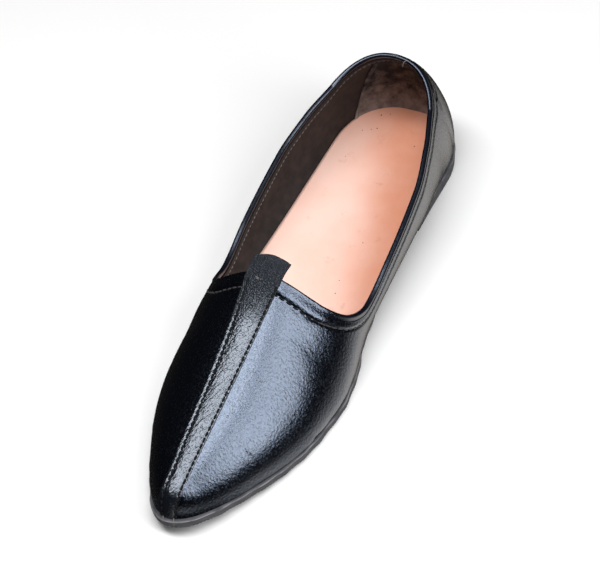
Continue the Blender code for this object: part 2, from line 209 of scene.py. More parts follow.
def fill(material, node, sockets):
    """Gives each socket its value, or a link from the output, or the node's first output, that feeds it."""
    for socket, value in sockets.items():
        if isinstance(value, bpy.types.Node):
            value = value.outputs[0]
        if isinstance(value, bpy.types.NodeSocket):
            material.node_tree.links.new(value, node.inputs[socket])
        else:
            node.inputs[socket].default_value = value


def add_node(material, kind, sockets=None, stops=(), **settings):
    """Adds a shader node with its settings, colour stops and filled sockets."""
    made = material.node_tree.nodes.new("ShaderNode" + kind)
    for name, value in settings.items():
        setattr(made, name, value)
    for i, (position, code) in enumerate(stops):
        made.color_ramp.elements[i].position = position
        made.color_ramp.elements[i].color = colour(code)
    fill(material, made, sockets or {})
    return made


def feed(material, **sockets):
    """Fills sockets of a material's shader."""
    shader = material.node_tree.nodes["Principled BSDF"]
    fill(material, shader, {socket.replace("_", " "): value for socket, value in sockets.items()})


def new_finish(name, **sockets):
    """A material with its shader's uniform values set."""
    material = bpy.data.materials.new(name)
    material.use_nodes = True
    feed(material, **sockets)
    return material


def grain_scale(millimetres):
    """Texture scale on Object coordinates for a feature of that size."""
    return 1000 / millimetres


# Dyed sole leather: a dull charcoal edge in which the fibre layers show as faint
# streaks along the sole, paler on the top corner where the dye has worn off.
# The fibres are drawn coarser than real ones so that they show.
sole_leather = new_finish("dyed_sole_leather", Roughness=0.9, IOR=1.25)
place = add_node(sole_leather, "TexCoord").outputs["Object"]
layered = add_node(sole_leather, "Mapping", {"Vector": place, "Scale": (0.25, 0.25, 2.4)})
fibres = add_node(sole_leather, "TexNoise",
                  {"Vector": layered, "Scale": grain_scale(1.6), "Detail": 5.0, "Roughness": 0.6})
dye = add_node(sole_leather, "ValToRGB", {"Fac": fibres}, stops=((0.30, "#3D3D41"), (0.75, "#5B5B5E")))
patches = add_node(sole_leather, "TexNoise", {"Vector": place, "Scale": grain_scale(7), "Detail": 4.0})
broken = add_node(sole_leather, "MapRange", {"Value": patches, "From Min": 0.38, "From Max": 0.56})
rubbed = add_node(sole_leather, "Attribute", attribute_name="rubbed")
bare = add_node(sole_leather, "Math", {0: rubbed.outputs["Fac"], 1: broken}, operation="MULTIPLY")
edge_colour = add_node(sole_leather, "Mix", {"Factor": bare, 6: dye, 7: colour("#8A898C")}, data_type="RGBA")
bump = add_node(sole_leather, "Bump", {"Height": fibres, "Strength": 0.5, "Distance": 0.0004})
feed(sole_leather, Base_Color=edge_colour.outputs[2], Normal=bump)

SOLE_STATIONS = 700          # on each side
SOLE_ACROSS = 7              # corners across each face
TOOTH_PITCH = 0.0017         # the knurled lower corner
TOOTH_DEPTH = 0.0004
TOOTH_WAVES = 410            # the knurling grows and fades along the edge at this rate, in radians a metre
RIGHT_TRIM = 0.0012          # the edge is cut this much closer beside the toes on the right
LEFT_TRIM = 0.0013           # and beside the joint on the left
RIGHT_TRIM_WAY = (.50, .65, .82, .93)                # where the cut begins, is full, fades and ends
LEFT_TRIM_WAY = (.38, .46, .58, .68)
TRIM_WAVES = ((.00015, 520, 0), (.00012, 231, 1))    # the knife's waver: depth, radians a metre, start
SOLE_PROFILE = (             # margin in metres, level, share of the knurling, and wear, round the edge
    (-.0040, 1.0, 0, 0), (-.0008, 1.0, 0, 0), (-.0002, 1.0, 0, .3), (0, .96, 0, 1), (.0001, .88, 0, 0),
    (.0001, .50, 0, 0), (0, .26, .1, 0), (-.0001, .13, .6, 0), (-.0003, .03, 1, 0), (-.0007, 0, .8, 0),
    (-.0050, 0, 0, 0),
)


def run_along(points):
    """How far along a line each of its points lies."""
    return np.concatenate([[0], np.cumsum(np.linalg.norm(np.diff(points, axis=0), axis=1))])


def outline_stations(count):
    """Places t, evenly spaced along one side of the outline, and how far along it they lie."""
    t = np.linspace(0, 1, 20 * SEARCH_STEPS + 1)
    run = run_along(np.stack(foot(t)[:2], 1))
    even = np.linspace(0, run[-1], count + 1)
    return np.interp(even, run, t), even


def between(left, right, count):
    """Points in rows that lead across from one rim to the other."""
    across = np.linspace(0, 1, count)[None, :, None]
    return left[:, None] * (1 - across) + right[:, None] * across


sole_t, run = outline_stations(SOLE_STATIONS)
tooth = np.abs((run / TOOTH_PITCH) % 1 - 0.5) * 2 * (0.7 + 0.3 * np.sin(run * TOOTH_WAVES))
sole_t = np.concatenate([sole_t, -sole_t[-2::-1]])
tooth = np.concatenate([tooth, tooth[-2::-1]])
run = np.concatenate([run, 2 * run[-1] - run[-2::-1]])
trim = np.where(sole_t < 0, RIGHT_TRIM * np.interp(np.abs(sole_t), RIGHT_TRIM_WAY, (0, 1, 1, 0)),
                LEFT_TRIM * np.interp(np.abs(sole_t), LEFT_TRIM_WAY, (0, 1, 1, 0)))
for depth, rate, start in TRIM_WAVES:
    trim = trim + depth * np.sin(run * rate + start)
ring = np.stack([sole_edge(sole_t, beyond - trim - TOOTH_DEPTH * share * tooth, level)
                 for beyond, level, share, tone_shift in SOLE_PROFILE], 1)
bm = bmesh.new()
lay_sheet(bm, ring, rubbed=np.array([row[3] for row in SOLE_PROFILE]) + 0 * ring[..., 0])
half = len(ring) // 2
for rim in (ring[:, 0], ring[:, -1]):
    lay_sheet(bm, between(rim[:half + 1], rim[half:][::-1], SOLE_ACROSS))
make_piece("sole", bm, sole_leather, "outsole")

# Heel lift: a second layer of the same leather under the seat, cut straight
# across at the breast, pegged on and dyed with the sole's edge.
HEEL_BREAST = 0.070          # from the heel back
HEEL_JOINT = 0.0003          # open line between the lift and the sole
LIFT_STATIONS = 61           # on each side
LIFT_ACROSS = 9              # corners across each face
LIFT_PROFILE = (             # margin in metres and share of the height, round the edge
    (-.0040, 1.0), (-.0010, 1.0), (-.0006, .97), (-.0003, .88), (-.0002, .5), (-.0004, .12),
    (-.0008, .03), (-.0013, 0), (-.0040, 0),
)
heel_t = np.linspace(0, 1, LIFT_STATIONS) * walk(HEEL_BREAST)
heel_t = np.concatenate([-heel_t[::-1], heel_t[1:]])
lift_rows = []
for beyond, share in LIFT_PROFILE:
    row = sole_edge(heel_t, beyond - SOLE_UNDERCUT, 0)
    row[:, 2] = (row[:, 2] - HEEL_JOINT) * share
    lift_rows.append(row)
lift = np.stack(lift_rows, 1)
bm = bmesh.new()
lay_sheet(bm, lift)
half = len(heel_t) // 2
for rim in (lift[:, 0], lift[:, -1]):
    lay_sheet(bm, between(rim[half:], rim[:half + 1][::-1], LIFT_ACROSS))
bmesh.ops.remove_doubles(bm, verts=bm.verts, dist=WELD)
bmesh.ops.holes_fill(bm, edges=[edge for edge in bm.edges if edge.is_boundary], sides=0)
make_piece("heel_lift", bm, sole_leather, "heel")

# Insole: a sheet of natural vegetable-tanned leather, laid in the shoe grain
# side up. It is bare tan; its paler middle and right and its deeper tan along the left are painted light and
# the painted shadow of the left wall, over some polish from the foot.
QUARTER_ROUNDNESS = 2.20     # superellipse power of the wall's sections at the quarters
VAMP_ROUNDNESS = 1.60        # and on the vamp
QUARTER_END = 0.090          # up to here the quarters keep their own roundness
FLARE_HEIGHT = 0.0204        # over the feather line, where the wall leans out most
FLARE_FADE = 0.625           # share of the half width inside which the flare fades
FLARE_REACH = 0.006          # nearer to the middle than this the flare grows no stronger
HEEL_BULGE = 0.0008          # how far the heel's back swells out
BULGE_HEIGHT = 0.031         # over which it does
SEAT_GAP = 0.0003            # between the sole's top and what lies on it
WALL = 0.0020                # leather and lining together
INSOLE_THICKNESS = 0.0025
INSOLE_GAP = 0.0003          # between the insole's edge and the upper
INSOLE_TOE = 0.99            # of the half outline, where the insole's blunt tip lies
INSOLE_GIRTH = 0.75          # no higher up the wall than this can the insole's edge lie
GIRTH_PROBE = 0.010          # step up the wall between the points that give a slope
ROUNDNESS = monotone_curve((0, QUARTER_END, VAMP_START, LAST_LENGTH),
                           (QUARTER_ROUNDNESS, QUARTER_ROUNDNESS, VAMP_ROUNDNESS, VAMP_ROUNDNESS))


def surface(t, girth):
    """Outer face of the upper: girth is 0 at the bottom edge and a quarter turn at the ridge."""
    x, y, spine_x, spine_y = foot(t)
    shape_x = eased(x)
    power = 2 / ROUNDNESS(shape_x)
    inward = np.clip(np.cos(girth), 0, 1) ** power
    rise = section("ridge", shape_x) * np.clip(np.sin(girth), 0, 1) ** power
    out_x, out_y = x - spine_x, y - spine_y
    reach = np.hypot(out_x, out_y) + 1e-9
    lift = rise / FLARE_HEIGHT
    swell = section("flare", shape_x) * lift * np.exp(1 - lift) * np.clip(inward / FLARE_FADE, 0, 1)
    behind = np.sin(np.clip(1 - np.abs(t) / HEEL_SHARE, 0, 1) * np.pi / 2) ** 2
    swell = swell + behind * HEEL_BULGE * np.sin(np.clip(rise / BULGE_HEIGHT, 0, 1) * np.pi)
    share = inward + swell / np.maximum(reach, FLARE_REACH)
    return np.stack([spine_x + out_x * share, spine_y + out_y * share,
                     section("feather", spine_x) + SEAT_GAP + rise], -1)


def outward(t, girth):
    """Unit normal of the upper's outer face."""
    t = np.clip(t, 2 * PROBE - 1, 1 - 2 * PROBE)
    girth = np.clip(girth, 2 * GIRTH_PROBE, np.pi / 2 - 2 * GIRTH_PROBE)
    along = surface(t + PROBE, girth) - surface(t - PROBE, girth)
    up = surface(t, girth + GIRTH_PROBE) - surface(t, girth - GIRTH_PROBE)
    return unit(np.cross(up, along))


def inside(t, girth, depth):
    """A face that lies some depth inside the upper's outer face."""
    return surface(t, girth) - depth * outward(t, girth)


def inner_edge(t, gap, height):
    """Where the upper's inner face, less a gap, passes a height over the feather line."""
    girths = INSOLE_GIRTH * np.linspace(0, 1, SEARCH_STEPS) ** 3
    points = []
    for station in t:
        inner = inside(station, girths, WALL + gap)
        level = section("feather", foot(station)[2]) + height
        points.append([np.interp(level, inner[:, 2], inner[:, i]) for i in (0, 1)] + [level])
    return np.array(points)


# Natural insole leather: warm peach tan, painted paler where the light falls on
# its middle and deeper tan in the left wall's painted shadow, over some polish,
# with soft clouds of deeper tan and a low sheen. The pores are drawn coarser than
# real ones so that they show.
insole_leather = new_finish("natural_insole_leather", Roughness=0.5, IOR=1.45)
place = add_node(insole_leather, "TexCoord").outputs["Object"]
clouds = add_node(insole_leather, "TexNoise", {"Vector": place, "Scale": grain_scale(24), "Detail": 5.0})
# This mark is painted light over some polish: paler where light falls, deeper tan in the left wall's shadow.
polished = add_node(insole_leather, "Attribute", attribute_name="polished")
shade = add_node(insole_leather, "Math",
                 {0: clouds, 1: 0.55, 2: polished.outputs["Fac"]}, operation="MULTIPLY_ADD")
tan = add_node(insole_leather, "ValToRGB", {"Fac": shade}, stops=((0.18, "#DC8E6D"), (0.95, "#F0C9BB")))
stains = add_node(insole_leather, "TexNoise",
                  {"Vector": place, "Scale": grain_scale(11), "Detail": 6.0, "Roughness": 0.7})
stained = add_node(insole_leather, "MapRange",
                   {"Value": stains, "From Min": 0.60, "From Max": 0.74, "To Max": 0.45})
worn = add_node(insole_leather, "Mix", {"Factor": stained, 6: tan, 7: colour("#C07C64")}, data_type="RGBA")
pores = add_node(insole_leather, "TexNoise", {"Vector": place, "Scale": grain_scale(0.9), "Detail": 3.0})
bump = add_node(insole_leather, "Bump", {"Height": pores, "Strength": 0.3, "Distance": 0.0002})
feed(insole_leather, Base_Color=worn.outputs[2], Normal=bump)

INSOLE_STATIONS = 121
INSOLE_ACROSS = 41
INSOLE_HOLLOW = 0.0007       # the middle lies this much lower than the edge, pressed down by the foot
LIT_POLISH = 0.66                # strength of the painted light and polish at its fullest
LIT_POLISH_START = (-.012, .058)     # from the heel back it grows between these
LIT_POLISH_LEAN = 0.26           # its left border, where the left wall's painted shadow begins, runs outwards at this slope
LIT_POLISH_SIDE = (.060, .002)   # through this place
LIT_POLISH_FADE = 0.0055         # over about this width
insole_t = np.linspace(0, INSOLE_TOE, INSOLE_STATIONS)
hollow = INSOLE_HOLLOW * np.sin(np.pi * np.linspace(0, 1, INSOLE_ACROSS)) ** 0.6
bm = bmesh.new()
for height in (SEAT_GAP + INSOLE_THICKNESS, SEAT_GAP):
    left, right = (inner_edge(side * insole_t, INSOLE_GAP, height) for side in (1, -1))
    sheet = between(left, right, INSOLE_ACROSS)
    if height > SEAT_GAP:
        sheet[..., 2] -= hollow
    foot_x, foot_y = sheet[..., 0], sheet[..., 1]
    border = LIT_POLISH_SIDE[1] + LIT_POLISH_LEAN * (foot_x - LIT_POLISH_SIDE[0])
    # Painted light: paler across the middle and right, deeper tan in the left wall's shadow, with some
    # polish.
    polish = np.interp(foot_x, LIT_POLISH_START, (0, LIT_POLISH)) / (1 + np.exp((foot_y - border) / LIT_POLISH_FADE))
    lay_sheet(bm, sheet, polished=polish)
bmesh.ops.remove_doubles(bm, verts=bm.verts, dist=WELD)
bmesh.ops.bridge_loops(bm, edges=[edge for edge in bm.edges if edge.is_boundary])
insole_face = BVHTree.FromBMesh(bm)
make_piece("insole", bm, insole_leather, "insole")

# Pinholes in the insole: the marks of the tacks that held it on the last, each
# drawn as a small flat spot, a little longer than wide, dark with painted shade.
PINHOLES = (                 # from the heel back and the middle line, and radius
    (.0109, -.0145, .00045), (.0202, -.0127, .0004), (.0258, .0105, .00035), (.0240, -.0194, .0003),
    (.0218, -.0153, .0003), (.0088, -.0104, .0003), (.0436, -.0200, .00025), (.0940, .0125, .0003),
    (.1199, .0115, .0003), (.1279, .0130, .00035),
)
PINHOLE_SHAPE = Matrix.Diagonal((1.2, 0.8, 0.35, 1))
# Tack hole: painted shade, a dull dark brown that stands for the shadow in the hole.
pinhole_shade = new_finish("tack_hole_painted_shade", Roughness=0.9, Base_Color=colour("#5A3426"))
bm = bmesh.new()
for x, y, radius in PINHOLES:
    above = Vector(np.array([x, y, FLARE_HEIGHT]) + SET_BACK)
    spot = insole_face.ray_cast(above, Vector((0, 0, -1)))[0]
    bmesh.ops.create_uvsphere(bm, u_segments=8, v_segments=5, radius=radius,
                              matrix=Matrix.Translation(spot) @ PINHOLE_SHAPE)
make_piece("insole_pinholes", bm, pinhole_shade)

# Upper: vamp and quarters of black goat leather, lasted over a form and sewn to
# the sole. It is softly glossy, with a fine pebbled grain and a few flex creases.
THROAT = (                   # from the middle out: where a column's foot and its top lie, and half span
    (.1745, .1668, 0), (.1700, .1664, .0120), (.1668, .1654, .0230), (.1592, .1585, .0320),
)
COLLAR = (                   # from the throat to the heel back: distance from it, and height
    (.142, .0231), (.115, .0292), (.080, .0371), (.045, .0457), (.018, .0534), (.005, .0573),
    (.001, .0587), (0, .0591),
)
THROAT_SHARE = 0.45          # of the upper's columns that lie before the throat
LEATHER = 0.0011             # thickness of the black leather; the lining makes up the rest of the wall


def girth_at(t, height):
    """The girth at which the section at t reaches a height over the floor."""
    x, _, spine_x, _ = foot(t)
    share = (height - SEAT_GAP - section("feather", spine_x)) / section("ridge", eased(x))
    return np.arcsin(np.clip(share, 0, 1) ** (ROUNDNESS(eased(x)) / 2))


edge_rows = []
for foot_x, edge_x, half_span in THROAT:
    share = half_span / section("half_width", edge_x)
    girth = np.arccos(share ** (ROUNDNESS(edge_x) / 2))
    edge_rows.append((walk(foot_x), walk(edge_x), girth, surface(walk(edge_x), girth)[2]))
for x, edge_z in COLLAR:
    edge_rows.append((walk(x), walk(x), girth_at(walk(x), edge_z), edge_z))
edge_rows = np.array(edge_rows, float)
edge_run = run_along(surface(edge_rows[:, 1], edge_rows[:, 2]))
EDGE_SHARES = edge_run / edge_run[-1]
EDGE_FOOT, EDGE_TOP, THROAT_GIRTH, EDGE_HEIGHT = (
    monotone_curve(EDGE_SHARES, column) for column in edge_rows.T)


def edge_girth(way):
    """Girth of the top edge, from the throat's middle at 0 to the heel back at 1."""
    in_throat = way < EDGE_SHARES[len(THROAT) - 1]
    return np.where(in_throat, THROAT_GIRTH(way), girth_at(EDGE_TOP(way), EDGE_HEIGHT(way)))


def top_edge(way, side):
    """The wall's top edge on one side, and its normals."""
    t, girth = side * EDGE_TOP(way), edge_girth(way)
    return surface(t, girth), outward(t, girth)


def upper_place(u, k):
    """The place on the last of the upper's column u, 0 at the toe and 1 at the heel, at height share k."""
    side = np.where(u >= 0, 1.0, -1.0)
    way = np.abs(u)
    vamp = np.clip(way / THROAT_SHARE, 0, 1)
    quarter = np.clip((way - THROAT_SHARE) / (1 - THROAT_SHARE), 0, 1)
    in_vamp = way < THROAT_SHARE
    foot_t = np.where(in_vamp, 1 - vamp * (1 - EDGE_FOOT(0)), EDGE_FOOT(quarter))
    top_t = np.where(in_vamp, 1 - vamp * (1 - EDGE_TOP(0)), EDGE_TOP(quarter))
    girth = np.where(in_vamp, np.pi / 2, edge_girth(quarter))
    return side * (foot_t + (top_t - foot_t) * k * k), girth * k


# Black goat leather: blue-black, with a cool sheen where the studio lights
# strike it, broken up by a pebbled grain and shallow wrinkles. Both are drawn
# coarser than real ones so that they show.
black_leather = new_finish("black_goat_leather", IOR=1.8, Base_Color=colour("#030408"),
                           Specular_Tint=colour("#CBDFFF"), Coat_Weight=0.2, Coat_IOR=1.6,
                           Coat_Roughness=0.2)
place = add_node(black_leather, "TexCoord").outputs["Object"]
slanted = add_node(black_leather, "Mapping",
                   {"Vector": place, "Rotation": (0, 0, np.radians(56)), "Scale": (3.5, 1.0, 1.0)},
                   vector_type="TEXTURE")
wrinkles = add_node(black_leather, "TexNoise", {"Vector": slanted, "Scale": grain_scale(1.1), "Detail": 2.0})
pebbles = add_node(black_leather, "TexNoise",
                   {"Vector": place, "Scale": grain_scale(1.15), "Detail": 2.0, "Roughness": 0.6})
gloss = add_node(black_leather, "MapRange",
                 {"Value": pebbles, "From Min": 0.35, "From Max": 0.65, "To Min": 0.30, "To Max": 0.11})
folds = add_node(black_leather, "Bump", {"Height": wrinkles, "Strength": 0.4, "Distance": 0.0003})
grain = add_node(black_leather, "Bump",
                 {"Height": pebbles, "Normal": folds, "Strength": 0.5, "Distance": 0.0003})
feed(black_leather, Roughness=gloss, Normal=grain)

UPPER_COLUMNS = 250          # on each side
UPPER_ROWS = 68
ROW_CROWDING = 1.1           # power by which the rows lie closer together towards the foot
ROW_TROUGH = (.00035, .0007)     # the sewn row pulls the leather in: depth and half width
EDGE_PUFF = 0.00010          # between row and edge it swells this much
SEAM_STEP = 0.0004           # behind its seam the heel piece stands out this much
SEAM_TROUGH = (.00035, .0010)
CREASE_RIDGE = (0.45, 2)     # beside each crease: share of its depth, and half widths away
CREASE_END = 0.25            # share of its depth at its two ends
CREASE_FLOOR = 0.012         # no crease reaches lower than this
SLACK = 0.00006              # soft unevenness of the lasted leather
SLACK_WAVES = (.0065, .0075, .011)   # along, across, and by which the first wander
TURN_OUT = ((.19, .23, .245, .272), (0, .0006, .0008, .0015))    # the upper's foot, towards the toe
TUCK = (.21, .0005)          # up to here, and by this much, it is tucked in
TURN_HEIGHT = 0.0016         # both fade over this height
EDGE_CALM = 0.0030           # nothing moves on the edge itself, and all of it this far below
STITCH_ROW = ((0, .12, .16, .20, .25, .30, 1),         # way along the top edge from throat to heel
              (.0055, .0062, .0054, .0042, .0034, .0030, .0032))   # and how far below it the row is sewn
HEEL_SEAM = ((.0085, .020, .030, .041, .049, .0535, .0575),   # heights at which the heel seam is placed
             (.0210, .0235, .0250, .0255, .0240, .0200, .0130))   # and how far from the heel back
CREASES = (                  # flex creases: both ends on the last in x and y, depth and half width
    (.2236, .0120, .2254, .0240, .00014, .0008), (.2265, .0090, .2286, .0250, .00022, .0008),
    (.2290, .0095, .2312, .0245, .00024, .0008), (.2318, .0110, .2338, .0235, .00015, .0008),
    (.2385, .0195, .2392, .0235, .00018, .0008), (.1780, .0220, .1810, .0305, .00010, .0008),
    (.1818, .0235, .1849, .0300, .00009, .0008), (.1748, .0085, .1764, .0150, .00016, .0008),
    (.1775, .0090, .1786, .0145, .00012, .0008), (.2250, -.0100, .2280, -.0240, .00020, .0009),
    (.2295, -.0120, .2320, -.0230, .00018, .0009), (.1800, -.0230, .1835, -.0310, .00020, .0009),
)

top_way = np.linspace(0, 1, 6 * SEARCH_STEPS + 1)
seam_z = np.linspace(HEEL_SEAM[0][0], HEEL_SEAM[0][-1], SEARCH_STEPS + 1)
seam_t = walk(np.interp(seam_z, *HEEL_SEAM))


def nearest_on(drawn):
    """A tree that finds the nearest point of some drawn lines, and its number along its line."""
    tree = KDTree(sum(len(line) for line in drawn))
    for line in drawn:
        for i, point in enumerate(line):
            tree.insert(Vector(point), i)
    tree.balance()
    return tree


edge_tree = nearest_on([top_edge(top_way, side)[0] for side in (1, -1)])
seam_tree = nearest_on([surface(side * seam_t, girth_at(seam_t, seam_z)) for side in (1, -1)])


def worked(points, normals, t):
    """The upper's outer face, with its sewn rows, seams, creases and slack moved along the normals."""
    shape = points.shape[:2]
    flat = [Vector(point) for point in points.reshape(-1, 3)]
    found = [edge_tree.find(point) for point in flat]
    below = np.array([hit[2] for hit in found]).reshape(shape)
    way = top_way[np.array([hit[1] for hit in found])].reshape(shape)
    row = np.interp(way, *STITCH_ROW)
    move = -ROW_TROUGH[0] * np.exp(-((below - row) / ROW_TROUGH[1]) ** 2)
    move += EDGE_PUFF * np.sin(np.clip(below / row, 0, 1) * np.pi)
    seam = np.array([seam_tree.find(point)[2] for point in flat]).reshape(shape)
    groove = np.exp(-(seam / SEAM_TROUGH[1]) ** 2)
    behind = np.abs(t) < walk(np.interp(points[..., 2], *HEEL_SEAM))
    move += np.where(behind, SEAM_STEP * (1 - groove), 0) - SEAM_TROUGH[0] * groove
    x, y, z = np.moveaxis(points, -1, 0)
    for from_x, from_y, to_x, to_y, depth, width in CREASES:
        run_x, run_y = to_x - from_x, to_y - from_y
        along = np.clip(((x - from_x) * run_x + (y - from_y) * run_y) / (run_x ** 2 + run_y ** 2), 0, 1)
        gap = np.hypot(x - from_x - along * run_x, y - from_y - along * run_y) / width
        crease = -np.exp(-gap ** 2) + CREASE_RIDGE[0] * np.exp(-(gap - CREASE_RIDGE[1]) ** 2)
        strength = CREASE_END + (1 - CREASE_END) * np.sin(along * np.pi)
        move += np.where(z > CREASE_FLOOR, depth * crease, 0) * strength
    wander = 2.0 * np.sin(y / SLACK_WAVES[2])
    move += SLACK * np.sin(x / SLACK_WAVES[0] + wander) * np.sin(y / SLACK_WAVES[1] + 1.3)
    height = z - section("feather", np.clip(x, HEEL_CENTRE, LAST_LENGTH))
    turned = np.interp(x, *TURN_OUT) - TUCK[1] * (x < TUCK[0])
    move += turned * np.exp(-np.clip(height, 0, 1) / TURN_HEIGHT)
    freed = np.clip(below / EDGE_CALM, 0, 1)
    move *= freed ** 2 * (3 - 2 * freed)
    return points + move[..., None] * normals


def thicken(piece, thickness, offset=-1):
    """Gives a sheet its thickness, inwards from its face or, with an offset of 1, outwards."""
    wall = piece.modifiers.new("thickness", "SOLIDIFY")
    wall.thickness = thickness
    wall.offset = offset


u = np.concatenate([np.linspace(0, 1, UPPER_COLUMNS + 1), -np.linspace(1, 0, UPPER_COLUMNS + 1)[1:]])
u[-1] = -1e-12               # the last column lies on the first, as the right side's
k = np.linspace(0, 1, UPPER_ROWS + 1) ** ROW_CROWDING
t, girth = upper_place(u[:, None], k)
bm = bmesh.new()
lay_sheet(bm, worked(surface(t, girth), outward(t, girth), t))
bmesh.ops.remove_doubles(bm, verts=bm.verts, dist=WELD)
bmesh.ops.recalc_face_normals(bm, faces=bm.faces)
skin = BVHTree.FromBMesh(bm)
upper = make_piece("upper_leather", bm, black_leather, "upper")
thicken(upper, LEATHER)

# Lining: thin brown sheepskin, pasted to the back of the upper all round, from
# the sole to just below the edge.
LINING = 0.0008
LINING_PASTE = 0.00005       # between it and the leather
LINING_TOP = 0.995           # share of the wall's height at which it ends
# Sheepskin: dark brown, matt, with a soft worn bloom.
lining_leather = new_finish("brown_sheepskin_lining", Roughness=0.75, IOR=1.45)
place = add_node(lining_leather, "TexCoord").outputs["Object"]
bloom = add_node(lining_leather, "TexNoise", {"Vector": place, "Scale": grain_scale(5), "Detail": 6.0})
brown = add_node(lining_leather, "ValToRGB", {"Fac": bloom}, stops=((0.35, "#150F0D"), (0.70, "#2B211E")))
bump = add_node(lining_leather, "Bump", {"Height": bloom, "Strength": 0.4, "Distance": 0.0003})
feed(lining_leather, Base_Color=brown, Normal=bump)
t, girth = upper_place(u[::2, None], k[::2] * LINING_TOP)
bm = bmesh.new()
lay_sheet(bm, inside(t, girth, LEATHER + LINING_PASTE))
lining = make_piece("lining", bm, lining_leather, "upper")
thicken(lining, LINING)

# Heel counter: a piece of brown suede laid over the lining round the heel, sewn
# down along its front edges, which stand up a little, and caught under the facing.
COUNTER_SEAM = ((.0085, .018, .028, .040, .047, .055),     # heights of the counter's sewn front edge
                (.0182, .0142, .0115, .0088, .0065, .0050))   # and how far it lies from the heel back
COUNTER_FOOT = 0.0092        # height of its lower edge
COUNTER_RISE = 0.0430        # height of its front edges
COUNTER_TOP = 0.0040         # below the top edge, under the facing
COUNTER = 0.0005             # thickness
COUNTER_RIDGE = 0.0005       # how far the front edges stand up
RIDGE_PLACE = (.005, .004)   # of the half outline: behind the edge, and half width
COUNTER_TONE = (-.45, .10)   # shift of its tone, darker at the top and paler at the seat
COUNTER_STATIONS = 91        # from side to side
COUNTER_ROWS = 41
INSIDE_PASTE = 0.00003       # between the lining and what is sewn over it
# Suede: mottled grey-brown nap, darker towards the top and paler towards the seat, no
# gloss. The nap is drawn coarser than a real one so that it shows.
suede = new_finish("rubbed_suede_counter", Roughness=0.85, IOR=1.4, Sheen_Weight=0.05,
                   Sheen_Roughness=0.5)
place = add_node(suede, "TexCoord").outputs["Object"]
nap = add_node(suede, "TexNoise",
               {"Vector": place, "Scale": grain_scale(1.3), "Detail": 6.0, "Roughness": 0.75})
blotches = add_node(suede, "TexNoise", {"Vector": place, "Scale": grain_scale(6), "Detail": 4.0})
low = add_node(suede, "Attribute", attribute_name="rubbed")
mottle = add_node(suede, "Math", {0: nap, 1: 0.6, 2: low.outputs["Fac"]}, operation="MULTIPLY_ADD")
mottle = add_node(suede, "Math", {0: blotches, 1: 1.1, 2: mottle}, operation="MULTIPLY_ADD")
brown = add_node(suede, "ValToRGB", {"Fac": mottle}, stops=((0.42, "#0D0908"), (1.0, "#8C7F7A")))
bump = add_node(suede, "Bump", {"Height": nap, "Strength": 0.6, "Distance": 0.0004})
feed(suede, Base_Color=brown, Normal=bump)
up_counter = np.linspace(1, 0, COUNTER_ROWS)
counter_seam_t = walk(np.interp(COUNTER_FOOT + COUNTER_RISE * up_counter, *COUNTER_SEAM))
t = np.linspace(1, -1, COUNTER_STATIONS)[:, None] * counter_seam_t
counter_top = EDGE_HEIGHT(np.interp(-np.abs(t), -EDGE_TOP(top_way), top_way)) - COUNTER_TOP
girth = girth_at(np.abs(t), COUNTER_FOOT * (1 - up_counter) + counter_top * up_counter)
ridge = (np.abs(t) - counter_seam_t + RIDGE_PLACE[0]) / RIDGE_PLACE[1]
ridge = COUNTER_RIDGE * np.exp(-ridge ** 2)[..., None]
# Darker towards the top and paler towards the seat.
tone_shift = COUNTER_TONE[0] + (COUNTER_TONE[1] - COUNTER_TONE[0]) * (1 - up_counter) ** 1.6
bm = bmesh.new()
lay_sheet(bm, inside(t, girth, WALL + INSIDE_PASTE + ridge), rubbed=tone_shift + 0 * t)
counter = make_piece("suede_counter", bm, suede, "upper")
thicken(counter, COUNTER)

# Facing: a narrow black leather band inside the opening, folded over the edge
# and sewn down along its lower side.
FACING_WIDTH = 0.0046
FACING = 0.0006              # thickness
FACING_PAD = 0.0002          # it swells this much between the edge and its sewn row
FACING_STATIONS = 221        # on each side


def share_below(u, depth):
    """The height share at distances below the top edge, for each column u."""
    k = np.linspace(0, 1, SEARCH_STEPS + 1)
    t, girth = upper_place(u[:, None], k)
    steps = np.linalg.norm(np.diff(surface(t, girth), axis=1), axis=2)
    down = np.concatenate([np.cumsum(steps[:, ::-1], axis=1)[:, ::-1], np.zeros((len(u), 1))], 1)
    return np.array([np.interp(-depth, -row, k) for row in down])


# Facing leather: the flesh side of the black hide, dull and even.
facing_leather = new_finish("dull_facing_leather", Roughness=0.6, IOR=1.4, Base_Color=colour("#0B0B0E"))
place = add_node(facing_leather, "TexCoord").outputs["Object"]
nap = add_node(facing_leather, "TexNoise", {"Vector": place, "Scale": grain_scale(1.2), "Detail": 4.0})
bump = add_node(facing_leather, "Bump", {"Height": nap, "Strength": 0.3, "Distance": 0.0003})
feed(facing_leather, Normal=bump)
facing_u = np.linspace(THROAT_SHARE, 1, FACING_STATIONS)
facing_u = np.concatenate([facing_u, -np.linspace(1, THROAT_SHARE, FACING_STATIONS)[1:]])
facing_depth = np.linspace(0, FACING_WIDTH, 9)
t, girth = upper_place(facing_u[:, None], share_below(facing_u, facing_depth))
pad = FACING_PAD * np.sin(np.pi * facing_depth / FACING_WIDTH)[None, :, None]
bm = bmesh.new()
lay_sheet(bm, inside(t, girth, WALL + INSIDE_PASTE + pad))
facing = make_piece("facing", bm, facing_leather, "upper")
thicken(facing, FACING)

# Centre strip: a narrow band of the same leather, sewn along the vamp's ridge
# from the toe, with a free tab that stands back over the throat.
STRIP_WIDTH_THROAT = 0.0158
STRIP_WIDTH_TOE = 0.0074
STRIP_THICKNESS = 0.0012
STRIP_TAB = 0.011            # free length behind the wall's edge at the throat
TAB_DROOP = 0.0034           # by which its end hangs down
THROAT_EDGE = THROAT[0][1]   # where the wall's edge crosses the middle of the throat


